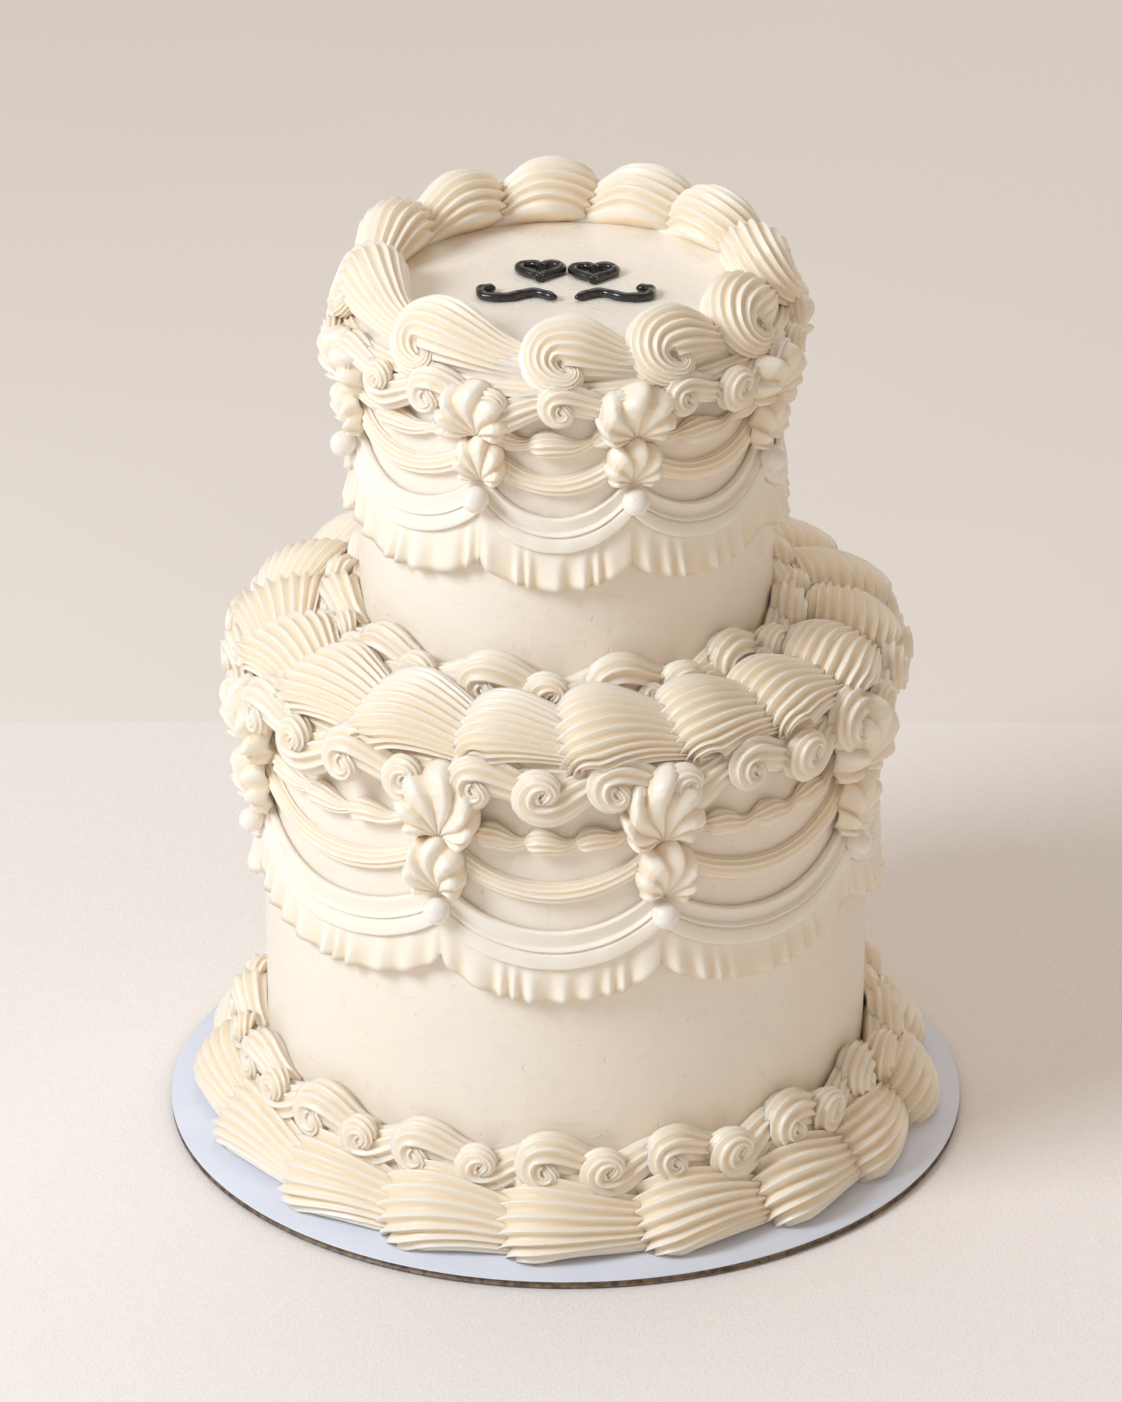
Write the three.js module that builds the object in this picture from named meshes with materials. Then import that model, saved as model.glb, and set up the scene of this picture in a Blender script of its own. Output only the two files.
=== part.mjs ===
// A two-tier round cake in the Lambeth style, on a thin round card board. Millimetres, +Z up.
// The origin is the centre of the board's underside, and the shown side faces -Y.
// Both tiers carry the same over-piping: shells round the top edge, a border of curls under them,
// a garland, a drop string and a ribbon that sag between eight joints, and a frill below the ribbon.
// A drop of two shells and a pearl hangs at each joint. Angles are in degrees from the front, towards +X.
import * as THREE from "three";

// ---- driving dimensions ----
const GAP = 0.3; // clearance between neighbouring pieces
const WALL_GAP = 0.8; // clearance of a ring, whose straight facets cut in towards a tier's wall
const ROUND_STEPS = 48; // facets round a tier and the board

const BOARD_RADIUS = 101.6;
const BOARD_THICKNESS = 2;
const LOWER_TOP = 131;

// Heights of the swags at a joint, and how far each sags in the middle of a swag.
const LOWER = {
  name: "lower",
  radius: 76.3,
  base: BOARD_THICKNESS,
  top: LOWER_TOP,
  frill: { edge: 76.8, sag: 10.3 },
  ribbonFoot: { edge: 86, sag: 10.7 },
  ribbonHead: { edge: 96.5, sag: 11.8 },
  string: { edge: 107, sag: 12 },
  garland: { edge: 113.5, sag: 5.2, beads: 4 },
  drop: { top: 127.4, joint: 107.3, foot: 93.4, pearl: 89.5 },
};
const UPPER = {
  name: "upper",
  radius: 51.2,
  base: LOWER_TOP,
  top: 222,
  frill: { edge: 171.2, sag: 7.2 },
  ribbonFoot: { edge: 183, sag: 9.3 },
  ribbonHead: { edge: 193, sag: 11 },
  string: { edge: 199.8, sag: 9.6 },
  garland: { edge: 205, sag: 4.6, beads: 2 },
  drop: { top: 215.2, joint: 201.2, foot: 190.9, pearl: 187 },
};
const EDGE_BEVEL = 1.5; // the softened top edge of a tier

// The joints of the swags. The front swag is narrow and its left neighbour wide, as piped by eye.
const FIRST_JOINT = -22.4;
const FRONT_SWAG = 39.4;
const LEFT_SWAG = 50;
const SWAG_COUNT = 8;
const OTHER_SWAG = (360 - FRONT_SWAG - LEFT_SWAG) / (SWAG_COUNT - 2);
const SECOND_JOINT = FIRST_JOINT + FRONT_SWAG;
const LATER_JOINTS = Array.from({ length: SWAG_COUNT - 1 }, (_, i) => SECOND_JOINT + i * OTHER_SWAG);
const JOINTS = [FIRST_JOINT, ...LATER_JOINTS];

const THIN = 0.8; // what is left of a ring's thickness where a drop lies over it
const DROP_REACH = 10; // half the width of wall that a drop covers
const DROP_STEP = 1.5; // the width over which a swag thickens beside a drop
const PEARL_RADIUS = 3.4;
const FRILL_FOLDS = 5;
const FRILL_THICKNESS = 0.9;
const RIBBON_REACH = 3.4;
const STRING_REACH = 2.4;

// ---- colours ----
const icing = new THREE.MeshStandardMaterial({ color: "#f0e5cf", roughness: 0.5, metalness: 0 });
const card = new THREE.MeshStandardMaterial({ color: "#e6e6ec", roughness: 0.45, metalness: 0 });
const pearl = new THREE.MeshStandardMaterial({ color: "#f3f0ea", roughness: 0.2, metalness: 0 });
const darkIcing = new THREE.MeshStandardMaterial({ color: "#17120f", roughness: 0.3, metalness: 0 });

// ---- helpers ----
const onRing = (radius, angle, height) => {
  const turn = THREE.MathUtils.degToRad(angle);
  return new THREE.Vector3(radius * Math.sin(turn), -radius * Math.cos(turn), height);
};
const arcAngle = (length, radius) => THREE.MathUtils.radToDeg(length / radius);
const mix = THREE.MathUtils.lerp;

// A closed geometry from points and triangles, turned so that its faces look out.
function closedGeometry(points, faces) {
  let volume = 0;
  for (let i = 0; i < faces.length; i += 3) {
    const [a, b, c] = [points[faces[i]], points[faces[i + 1]], points[faces[i + 2]]];
    volume += a.dot(b.clone().cross(c));
  }
  if (volume < 0) {
    for (let i = 0; i < faces.length; i += 3) {
      [faces[i + 1], faces[i + 2]] = [faces[i + 2], faces[i + 1]];
    }
  }
  const geometry = new THREE.BufferGeometry().setFromPoints(points);
  geometry.setIndex(faces);
  return geometry;
}

// Side faces between two sections of the same size, held in one list of points.
function bridge(faces, here, next, count) {
  for (let j = 0; j < count; j += 1) {
    const k = (j + 1) % count;
    faces.push(here + j, next + j, next + k, here + j, next + k, here + k);
  }
}

// A closed ring through stations {angle, section}; a section is a list of [radius, height].
function ringLoft(stations) {
  const count = stations[0].section.length;
  const points = stations.flatMap(({ angle, section }) => section.map(([r, z]) => onRing(r, angle, z)));
  const faces = [];
  stations.forEach((_, i) => bridge(faces, i * count, ((i + 1) % stations.length) * count, count));
  return closedGeometry(points, faces);
}

// A loft with flat ends through sections, each a list of points.
function cappedLoft(sections) {
  const count = sections[0].length;
  const last = (sections.length - 1) * count;
  const faces = [];
  for (let i = 0; i < sections.length - 1; i += 1) bridge(faces, i * count, (i + 1) * count, count);
  for (let j = 1; j < count - 1; j += 1) {
    faces.push(0, j, j + 1, last, last + j + 1, last + j);
  }
  return closedGeometry(sections.flat(), faces);
}

const cake = new THREE.Group();
function addMesh(name, geometry, material, parent = cake) {
  geometry.computeVertexNormals();
  const mesh = new THREE.Mesh(geometry, material);
  mesh.name = name;
  parent.add(mesh);
  return mesh;
}

// ---- board and tiers ----
function roundBody(radius, base, top, bevel) {
  const outline = [[0, base], [radius, base], [radius, top - bevel], [radius - bevel, top], [0, top]];
  const turned = new THREE.LatheGeometry(outline.map(([r, z]) => new THREE.Vector2(r, z)), ROUND_STEPS);
  return turned.rotateX(Math.PI / 2); // a lathe turns round Y, and the cake stands along Z
}

function addBoardAndTiers() {
  addMesh("board", roundBody(BOARD_RADIUS, 0, BOARD_THICKNESS, BOARD_THICKNESS / 8), card);
  for (const tier of [LOWER, UPPER]) {
    addMesh(`${tier.name}_tier`, roundBody(tier.radius, tier.base + GAP, tier.top, EDGE_BEVEL), icing);
  }
}

// ---- shells piped in a ring ----
// Each shell has a full head and a tail that runs under the next head. One entry is a share of the
// pitch and the size there: the head swells up at once and then thins out.
const SHELL_PROFILE = [[0, 0.64], [0.05, 0.95], [0.28, 1], [0.65, 0.82]];
const RIB_DEPTH = 0.1;
const ribbed = (index) => 1 - RIB_DEPTH * (index % 2);

const evenHeads = (count, first) => Array.from({ length: count }, (_, i) => first + (i * 360) / count);

// The eleven shells on the upper tier are piped by eye: where each head starts.
const UPPER_EDGE_HEADS = [-12, 18, 48, 86, 116, 142, 172, 201, 231, 264, 308];

function shellRing(heads, sectionOf) {
  const stations = heads.flatMap((start, i) => {
    const end = heads[i + 1] ?? heads[0] + 360;
    return SHELL_PROFILE.map(([share, size]) => {
      const angle = mix(start, end, share);
      return { angle, section: sectionOf(size, angle) };
    });
  });
  return ringLoft(stations);
}

// Shells in the corner between the board and the lower tier.
function footSection(size) {
  const wall = LOWER.radius + WALL_GAP;
  const floor = BOARD_THICKNESS + GAP;
  const reach = 16.4 * size;
  const height = 14.6 * (0.35 + 0.65 * size);
  const steps = 6;
  const section = [[wall, floor]];
  for (let i = 0; i <= steps; i += 1) {
    const turn = (i / steps) * (Math.PI / 2);
    const rib = i === 0 || i === steps ? 1 : ribbed(i);
    section.push([wall + reach * rib * Math.cos(turn), floor + height * rib * Math.sin(turn)]);
  }
  return section;
}

// Shells that ride over the top edge of a tier and hang down a little outside it.
function edgeSection(tier, centre, halfWidth, height, hang, size) {
  const wall = tier.radius + WALL_GAP;
  const floor = tier.top + GAP;
  const steps = 6;
  const section = [[wall, floor], [wall, floor - hang * size]];
  for (let i = 0; i <= steps; i += 1) {
    const turn = (i / steps) * Math.PI;
    const rib = i === steps ? 1 : ribbed(i + 1);
    const lean = -hang * 0.3 * size * Math.max(0, Math.cos(turn)); // the outer side sits lower
    section.push([
      centre + halfWidth * (0.3 + 0.7 * size) * rib * Math.cos(turn),
      floor + height * size * rib * Math.sin(turn) + lean,
    ]);
  }
  return section;
}

// The upper tier's shells are fuller at the back of the cake than at its front.
const BACK_FULLNESS = 0.12;
const fullness = (angle) => 1 - BACK_FULLNESS * Math.cos(THREE.MathUtils.degToRad(angle));

function addShellRings() {
  const lowerSection = (size) => edgeSection(LOWER, 71.6, 10.9, 9, 3.2, size);
  const upperSection = (size, angle) => edgeSection(UPPER, 44, 11.8, 9.8 * fullness(angle), 6.7, size);
  addMesh("foot_shells", shellRing(evenHeads(17, -5), footSection), icing);
  addMesh("lower_edge_shells", shellRing(evenHeads(18, 4), lowerSection), icing);
  addMesh("upper_edge_shells", shellRing(UPPER_EDGE_HEADS, upperSection), icing);
}

// ---- borders of curls ----
// A border: how many curls, where one lies over the middle line, the heights it keeps between, and
// the size of a head and how far it stands out.
const border = (count, firstOver, [floor, middle, ceiling], head, reach) => {
  return { count, firstOver, floor, middle, ceiling, head, reach };
};
const FOOT_CURLS = border(32, -3.4, [17.3, 22.8, 40], 4.5, 6.5);
const WAIST_CURLS = border(22, -19.4, [134.5, 139, 160], 4.6, 6);
const LOWER_TOP_CURLS = border(30, 8.7, [110, 122.2, 127.5], 4.6, 5);
const UPPER_TOP_CURLS = border(22, -2, [204.9, 210.6, 215], 4.2, 4.6);

// One curl as [share of the pitch, size, lift in head radii]: a neck, a round head and its tail.
const CURL_PROFILE = [[-0.38, 0.55, -0.1], [-0.12, 1, 0.4], [0.3, 0.85, 0.3]];

function curlSection(tier, centre, half, out, { floor, ceiling }) {
  const wall = tier.radius + WALL_GAP;
  const points = [[wall, centre - half], [wall + out, centre - half / 2]];
  points.push([wall + out, centre + half / 2], [wall, centre + half]);
  return points.map(([r, z]) => [r, THREE.MathUtils.clamp(z, floor, ceiling)]);
}

// Curls in turn over and under the middle line.
function curlStations(tier, { count, firstOver, middle, head, reach, ...limits }) {
  const pitch = 360 / count;
  return Array.from({ length: count }, (_, i) => (i % 2 === 0 ? 1 : -1)).flatMap((side, i) =>
    CURL_PROFILE.map(([share, size, lift]) => ({
      angle: firstOver + (i + share) * pitch,
      section: curlSection(tier, middle + side * lift * head, size * head, size * reach, limits),
    })),
  );
}

// A border passes behind the drops as a thin line.
function tuckBehindDrops(tier, curls) {
  const near = arcAngle(DROP_REACH, tier.radius);
  const past = arcAngle(DROP_REACH + DROP_STEP, tier.radius);
  const apart = (angle, joint) => Math.abs(THREE.MathUtils.euclideanModulo(angle - joint + 180, 360) - 180);
  const isClear = ({ angle }) => JOINTS.every((joint) => apart(angle, joint) > past);
  const section = curlSection(tier, curls.middle, 2, THIN, curls);
  const hiddenAngles = JOINTS.flatMap((joint) => [joint - near, joint, joint + near]);
  const kept = curlStations(tier, curls).filter(isClear);
  const hidden = hiddenAngles.map((angle) => ({ angle, section }));
  const turned = ({ angle }) => THREE.MathUtils.euclideanModulo(angle, 360);
  return [...kept, ...hidden].sort((a, b) => turned(a) - turned(b));
}

function addCurlRings() {
  addMesh("foot_curls", ringLoft(curlStations(LOWER, FOOT_CURLS)), icing);
  addMesh("waist_curls", ringLoft(curlStations(UPPER, WAIST_CURLS)), icing);
  addMesh("lower_top_curls", ringLoft(tuckBehindDrops(LOWER, LOWER_TOP_CURLS)), icing);
  addMesh("upper_top_curls", ringLoft(tuckBehindDrops(UPPER, UPPER_TOP_CURLS)), icing);
}

// The low row of curls on the shelf between the tiers, under the waist curls.
function addShelfCurls() {
  const count = 22;
  const inner = UPPER.radius + WALL_GAP;
  const floor = LOWER.top + GAP;
  const stations = [];
  for (let i = 0; i < count; i += 1) {
    for (const [share, size] of [[0, 1], [0.7, 0.55]]) {
      const outer = inner + 7.6 * size;
      const crest = floor + 2.8 * size;
      stations.push({
        angle: ((i + share) * 360) / count,
        section: [[inner, floor], [outer, floor], [mix(inner, outer, 0.7), crest], [inner, crest]],
      });
    }
  }
  addMesh("shelf_curls", ringLoft(stations), icing);
}

// ---- swags ----
const swagSpans = () => JOINTS.map((start, i) => [start, JOINTS[i + 1] ?? JOINTS[0] + 360]);

// 0 at a joint and 1 in the middle of a swag, with the full round sag of a string that hangs.
const sagAt = (share) => (4 * share * (1 - share)) ** 0.8;
const heightAt = ({ edge, sag }, share) => edge - sag * sagAt(share);

// Shares of a swag where its sections lie: close to each drop, and then evenly between.
function swagShares(tier, [start, end], between) {
  const near = arcAngle(DROP_REACH, tier.radius) / (end - start);
  const past = arcAngle(DROP_REACH + DROP_STEP, tier.radius) / (end - start);
  const middle = Array.from({ length: between }, (_, i) => mix(past, 1 - past, (i + 1) / (between + 1)));
  const shares = [0, near, past, ...middle, 1 - past, 1 - near];
  const thin = [0, near, 1 - near];
  return shares.map((share) => ({ share, thin: thin.includes(share) }));
}

// A ring whose section follows the sag; sectionOf(share, whether it is thin, wall radius).
function swagRing(tier, between, sectionOf) {
  const wall = tier.radius + WALL_GAP;
  const stations = swagSpans().flatMap((span) =>
    swagShares(tier, span, between).map(({ share, thin }) => ({
      angle: mix(span[0], span[1], share),
      section: sectionOf(share, thin, wall),
    })),
  );
  return ringLoft(stations);
}

function ribbonRing(tier) {
  return swagRing(tier, 2, (share, thin, wall) => {
    const foot = heightAt(tier.ribbonFoot, share);
    const head = heightAt(tier.ribbonHead, share);
    const out = thin ? THIN : RIBBON_REACH;
    return [[wall, foot], [wall + out, foot], [wall + out * 0.6, mix(foot, head, 0.55)], [wall, head]];
  });
}

function stringRing(tier) {
  const half = 2.5;
  return swagRing(tier, 2, (share, thin, wall) => {
    const height = heightAt(tier.string, share);
    return [[wall, height - half], [wall + (thin ? THIN : STRING_REACH), height], [wall, height + half]];
  });
}

// A thin rope with small shells along it.
function garlandRing(tier) {
  const wall = tier.radius + WALL_GAP;
  const garland = tier.garland;
  const sizes = { thin: [THIN, 1.8], tail: [1.8, 1.6], head: [3.6, 3] };
  const stations = swagSpans().flatMap(([start, end]) => {
    const near = arcAngle(DROP_REACH, tier.radius) / (end - start);
    const bead = (1 - 2 * near) / garland.beads;
    const plan = [[0, "thin"], [near * 0.98, "thin"]];
    for (let i = 0; i < garland.beads; i += 1) {
      plan.push([near + (i + 0.2) * bead, "head"], [near + (i + 0.9) * bead, "tail"]);
    }
    plan.push([1 - near * 0.98, "thin"]);
    return plan.map(([share, kind]) => {
      const height = heightAt(garland, share);
      const [out, half] = sizes[kind];
      return {
        angle: mix(start, end, share),
        section: [[wall, height - half], [wall + out, height], [wall, height + half]],
      };
    });
  });
  return ringLoft(stations);
}

// The frill hangs from the ribbon's foot, and its lower edge swings in and out.
function frillRing(tier) {
  const wall = tier.radius + WALL_GAP;
  const stations = swagSpans().flatMap(([start, end]) =>
    Array.from({ length: 2 * FRILL_FOLDS }, (_, i) => {
      const share = i / (2 * FRILL_FOLDS);
      const head = heightAt(tier.ribbonFoot, share) - GAP;
      const foot = tier.frill.edge - tier.frill.sag * sagAt(share) ** 0.7;
      const swing = i % 2 === 0 ? 0.2 : 3.2;
      const lift = i % 2 === 0 ? 0.5 : 0;
      return {
        angle: mix(start, end, share),
        section: [
          [wall, head],
          [wall + 1.8, head],
          [wall + swing + FRILL_THICKNESS, foot + lift],
          [wall + swing, foot + lift],
        ],
      };
    }),
  );
  return ringLoft(stations);
}

function addSwags() {
  for (const tier of [LOWER, UPPER]) {
    addMesh(`${tier.name}_frill`, frillRing(tier), icing);
    addMesh(`${tier.name}_ribbon`, ribbonRing(tier), icing);
    addMesh(`${tier.name}_string`, stringRing(tier), icing);
    addMesh(`${tier.name}_garland`, garlandRing(tier), icing);
  }
}

// ---- drops and pearls ----
// A large shell over a small one, heads up. One entry is a share of the shell's height from its
// head down, the half width and how far it stands out.
const LARGE_SHELL = [[0, 4.6, 3.2], [0.28, 9.2, 9], [0.62, 7.6, 7.4], [1, 3.6, 4.4]];
const SMALL_SHELL = [[0.1, 6.3, 7], [0.45, 5.6, 6.2], [1, 2.2, 2.4]];

function dropSection(tier, angle, height, halfWidth, out) {
  const back = tier.radius + WALL_GAP + THIN + 1.5 * GAP;
  const fronts = 4;
  const section = [onRing(back, angle - arcAngle(halfWidth, back), height)];
  for (let i = 0; i < fronts; i += 1) {
    const turn = ((i + 0.5) / fronts) * Math.PI;
    const along = -halfWidth * Math.cos(turn) * 1.06;
    const rib = i % 2 === 0 ? 0.92 : 1.04;
    section.push(onRing(back + out * Math.sin(turn) * rib, angle + arcAngle(along, back), height));
  }
  section.push(onRing(back, angle + arcAngle(halfWidth, back), height));
  section.push(onRing(back, angle, height));
  return section;
}

function dropGeometry(tier, angle) {
  const { top, joint, foot } = tier.drop;
  const large = LARGE_SHELL.map(([share, half, out]) =>
    dropSection(tier, angle, mix(top, joint, share), half, out),
  );
  const small = SMALL_SHELL.map(([share, half, out]) =>
    dropSection(tier, angle, mix(joint, foot, share), half, out),
  );
  return cappedLoft([...large, ...small]);
}

function addDrops() {
  for (const tier of [LOWER, UPPER]) {
    JOINTS.forEach((angle, i) => {
      addMesh(`${tier.name}_drop_${i + 1}`, dropGeometry(tier, angle), icing);
      const ball = new THREE.OctahedronGeometry(PEARL_RADIUS, 1);
      const mesh = addMesh(`${tier.name}_pearl_${i + 1}`, ball, pearl);
      mesh.position.copy(onRing(tier.radius + WALL_GAP + THIN + GAP + PEARL_RADIUS, angle, tier.drop.pearl));
    });
  }
}

// ---- dark piping on top: two hearts over a pair of scrolls ----
const LINE_RADIUS = 1.2;
const MOTIF_HEIGHT = UPPER.top + GAP + LINE_RADIUS;

function heartPoints(centreX, centreY, size, count) {
  return Array.from({ length: count }, (_, i) => {
    const turn = (i / count) * 2 * Math.PI;
    const x = Math.sin(turn) ** 3;
    const lobes = 13 * Math.cos(turn) - 5 * Math.cos(2 * turn) - 2 * Math.cos(3 * turn);
    const y = (lobes - Math.cos(4 * turn)) / 16;
    return new THREE.Vector3(centreX + size * x, centreY + size * y, MOTIF_HEIGHT);
  });
}

// A line of icing with a square section that follows flat points; closed joins its ends.
function pipedLine(points, closed) {
  const sections = points.map((point, i) => {
    const before = points[closed ? (i + points.length - 1) % points.length : Math.max(0, i - 1)];
    const after = points[closed ? (i + 1) % points.length : Math.min(points.length - 1, i + 1)];
    const along = after.clone().sub(before).normalize();
    const across = new THREE.Vector3(-along.y, along.x, 0).multiplyScalar(LINE_RADIUS);
    const up = new THREE.Vector3(0, 0, LINE_RADIUS);
    return [across, up, across.clone().negate(), up.clone().negate()].map((side) => point.clone().add(side));
  });
  if (!closed) return cappedLoft(sections);
  const faces = [];
  sections.forEach((_, i) => bridge(faces, i * 4, ((i + 1) % sections.length) * 4, 4));
  return closedGeometry(sections.flat(), faces);
}

// A scroll that curls up at its outer end; side is -1 for the left one.
function scrollPoints(side) {
  const curve = new THREE.CatmullRomCurve3(
    [[2.2, -13], [8, -9.5], [14, -12.5], [19.5, -12], [20.5, -7.5], [17, -6.5]].map(
      ([x, y]) => new THREE.Vector3(side * x, y, MOTIF_HEIGHT),
    ),
  );
  return curve.getPoints(14);
}

function addMotif() {
  addMesh("motif_heart_left", pipedLine(heartPoints(-6.2, 6, 5.2, 16), true), darkIcing);
  addMesh("motif_heart_right", pipedLine(heartPoints(6.8, 4.6, 5.2, 16), true), darkIcing);
  addMesh("motif_scroll_left", pipedLine(scrollPoints(-1), false), darkIcing);
  addMesh("motif_scroll_right", pipedLine(scrollPoints(1), false), darkIcing);
}

addBoardAndTiers();
addShellRings();
addCurlRings();
addShelfCurls();
addSwags();
addDrops();
addMotif();

export default cake;
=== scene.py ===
"""Looks of a two-tier lambeth cake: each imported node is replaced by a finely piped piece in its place.

Lengths are in millimetres until a mesh is made. Angles are measured from the front (-Y) towards +X.
"""
import math

import bpy
import numpy as np
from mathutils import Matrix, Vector


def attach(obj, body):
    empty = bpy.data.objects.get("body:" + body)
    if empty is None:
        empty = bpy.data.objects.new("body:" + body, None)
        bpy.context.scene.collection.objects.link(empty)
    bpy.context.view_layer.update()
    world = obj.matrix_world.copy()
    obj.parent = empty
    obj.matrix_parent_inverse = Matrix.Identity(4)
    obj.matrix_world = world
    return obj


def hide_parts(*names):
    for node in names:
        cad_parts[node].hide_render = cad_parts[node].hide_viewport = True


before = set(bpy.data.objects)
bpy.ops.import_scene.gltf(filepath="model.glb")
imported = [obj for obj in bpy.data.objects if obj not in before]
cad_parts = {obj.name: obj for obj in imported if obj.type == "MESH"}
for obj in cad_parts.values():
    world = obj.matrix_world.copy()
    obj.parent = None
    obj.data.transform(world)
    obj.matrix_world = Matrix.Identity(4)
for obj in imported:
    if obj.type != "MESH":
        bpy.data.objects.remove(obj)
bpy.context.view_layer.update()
METRE = 0.001
SEED = 11
random = np.random.default_rng(SEED)

# ---- sizes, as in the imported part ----
BOARD_RADIUS = 101.6
BOARD_THICKNESS = 2.0
# A pair is a swag's height at a joint and how far it sags in its middle.
LOWER = {
    "name": "lower", "radius": 76.3, "base": 2.0, "top": 131.0,
    "frill": (76.8, 10.3), "ribbon_foot": (86.0, 10.7), "ribbon_head": (96.5, 11.8),
    "string": (107.0, 12.0), "garland": (113.5, 5.2), "beads": 4, "folds": 10,
    "drop": {"top": 127.4, "joint": 107.3, "foot": 93.4, "pearl": 89.5}, "drop_width": 1.0,
}
UPPER = {
    "name": "upper", "radius": 51.2, "base": 131.0, "top": 222.0,
    "frill": (171.2, 7.2), "ribbon_foot": (183.0, 9.3), "ribbon_head": (193.0, 11.0),
    "string": (199.8, 9.6), "garland": (205.0, 4.6), "beads": 2, "folds": 7,
    "drop": {"top": 215.2, "joint": 201.2, "foot": 190.9, "pearl": 187.0}, "drop_width": 0.87,
}
# The joints of the swags, in degrees. The front swag is narrow and its left neighbour wide.
FIRST_JOINT = -22.4
FRONT_SWAG = 39.4
LEFT_SWAG = 50.0
SWAG_COUNT = 8
OTHER_SWAG = (360 - FRONT_SWAG - LEFT_SWAG) / (SWAG_COUNT - 2)
JOINTS = [FIRST_JOINT] + [FIRST_JOINT + FRONT_SWAG + i * OTHER_SWAG for i in range(SWAG_COUNT - 1)]
SWAGS = [(start, end) for start, end in zip(JOINTS, JOINTS[1:] + [JOINTS[0] + 360])]


# ---- curves ----
def smooth(rows, count):
    """Catmull-Rom curve through rows of numbers, as count rows."""
    rows = np.asarray(rows, float)
    padded = np.vstack([2 * rows[0] - rows[1], rows, 2 * rows[-1] - rows[-2]])
    along = np.linspace(0, len(rows) - 1, count)
    i = np.minimum(along.astype(int), len(rows) - 2)
    u = (along - i)[:, None]
    a, b, c, d = padded[i], padded[i + 1], padded[i + 2], padded[i + 3]
    return 0.5 * (2 * b + (c - a) * u + (2 * a - 5 * b + 4 * c - d) * u**2 + (3 * b - a - 3 * c + d) * u**3)


def unit(vectors):
    return vectors / np.maximum(np.linalg.norm(vectors, axis=-1, keepdims=True), 1e-9)


def on_ring(radius, angle, height):
    """Points at a radius, an angle in degrees and a height."""
    turn = np.radians(angle)
    radius, turn, height = np.broadcast_arrays(radius, turn, height)
    return np.stack([radius * np.sin(turn), -radius * np.cos(turn), height], axis=-1)


def sag_at(share):
    """How far a swag hangs at a share of its width, from 0 at a joint to 1 in its middle."""
    return np.maximum(4 * share * (1 - share), 0) ** 0.8


def height_at(edge_and_sag, share):
    edge, sag = edge_and_sag
    return edge - sag * sag_at(share)


# ---- mesh building ----
def closing_triangles(index, start):
    """Triangles that close both ends of a tube round their middles, which are the points from start on."""
    first, last = index[0], index[-1]
    middle = np.full(len(first), start)
    return np.vstack([
        np.stack([np.roll(first, -1), first, middle], -1),
        np.stack([last, np.roll(last, -1), middle + 1], -1),
    ])


def looks_inwards(points, quads):
    """Whether faces are turned inside out, from the sign of the volume that they enclose."""
    corners = points[quads] - points.mean(0)
    volume = np.einsum("ij,ij->i", corners[:, 0], np.cross(corners[:, 1], corners[:, 2])).sum()
    volume += np.einsum("ij,ij->i", corners[:, 0], np.cross(corners[:, 2], corners[:, 3])).sum()
    return volume < 0


class Body:
    """Collects grids of points into one mesh. A grid's fourth column says how deep in a groove a point is."""

    def __init__(self):
        self.points, self.grooves, self.quads, self.triangles, self.count = [], [], [], [], 0

    def add_grid(self, grid, ring=False):
        """Adds a tube of rows of points; a ring joins its last row to its first, and a tube gets caps."""
        rows, columns = grid.shape[:2]
        groove = grid[..., 3].ravel() if grid.shape[2] == 4 else np.zeros(rows * columns)
        grid = grid[..., :3]
        index = np.arange(rows * columns).reshape(rows, columns)
        here = index if ring else index[:-1]
        there = np.roll(index, -1, 0) if ring else index[1:]
        quads = np.stack([here, np.roll(here, -1, 1), np.roll(there, -1, 1), there], -1).reshape(-1, 4)
        points = grid.reshape(-1, 3)
        triangles = np.zeros((0, 3), int)
        if not ring:
            points = np.vstack([points, grid[0].mean(0), grid[-1].mean(0)])
            groove = np.append(groove, [0, 0])
            triangles = closing_triangles(index, rows * columns)
        if looks_inwards(points, quads):
            quads, triangles = quads[:, ::-1], triangles[:, ::-1]
        self.points.append(points)
        self.grooves.append(groove)
        self.quads.append(quads + self.count)
        self.triangles.append(triangles + self.count)
        self.count += len(points)

    def build(self, name, material, *nodes):
        """Makes the object, in metres, in place of the named nodes."""
        points = np.vstack(self.points) * METRE
        faces = np.vstack(self.quads).tolist() + np.vstack(self.triangles).tolist()
        mesh = bpy.data.meshes.new(name)
        mesh.from_pydata(points.tolist(), [], faces)
        mesh.polygons.foreach_set("use_smooth", [True] * len(mesh.polygons))
        groove = mesh.attributes.new("groove", "FLOAT", "POINT")
        groove.data.foreach_set("value", np.concatenate(self.grooves).astype(np.float32))
        mesh.materials.append(material)
        piece = bpy.data.objects.new(name, mesh)
        bpy.context.scene.collection.objects.link(piece)
        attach(piece, "root")
        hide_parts(*nodes)


# ---- piping ----
BACK_POINTS = 3  # points across the plain back of a tube
BUNCH = 0.7  # how far the points of a rib crowd towards its crest
SKEW = 1.3  # leans each rib to one side
LEVEL = 0.4  # the height on a rib, from 0 to 1, that lies on the smooth tube
JAG_PLACE = (0.33, 0.16)  # where the ribs are deeper: the middle of the stretch and its width, as shares
TIP_PLACE = (0.16, 0.14)  # where the ribs reach forward
SWAYS = 1.1  # how many times the ribs sway along a tube


def bell(share, middle, width):
    """A smooth hump of 1 at the middle."""
    return np.exp(-(((share - middle) / width) ** 2))


def rib_positions(ribs, per_rib):
    """Places across a tube, counted in ribs."""
    even = np.arange(ribs * per_rib + 1) / per_rib
    return even - BUNCH * np.sin(2 * math.pi * even) / (2 * math.pi)


def ridge(position):
    """The height of a rib, from 0 in its round hollow to 1 on its sharp crest."""
    return 1 - np.sin(math.pi * (position % 1.0) ** SKEW)


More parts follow.
